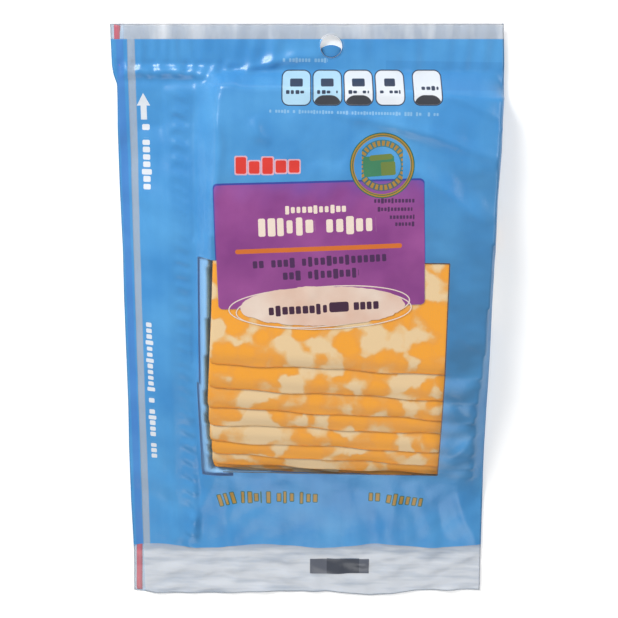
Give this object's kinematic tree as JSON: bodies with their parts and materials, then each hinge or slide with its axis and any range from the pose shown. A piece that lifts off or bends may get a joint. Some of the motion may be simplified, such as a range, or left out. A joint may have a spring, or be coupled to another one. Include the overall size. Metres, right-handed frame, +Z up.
{
  "type": "pack of sliced cheese",
  "caption": "Sealed plastic pouch of square cheese slices, fanned towards its foot behind a clear window, with a press-to-close zip down one side and a hang hole in its head.",
  "frame": {"origin": "on the ground, under the centre of the pouch as it lies on its back", "axes": "+X to the right of the printed face, +Y to the head with the hang hole, +Z up out of the printed face; the zip runs along the -X side"},
  "size_m": [0.142, 0.225, 0.0183],
  "materials": {
    "printed_film": "gloss",
    "clear_film": "clear gloss",
    "cheese": "satin",
    "zip": "clear gloss"
  },
  "bodies": {
    "root": {"pouch": "printed_film"}
  },
  "joints": []
}
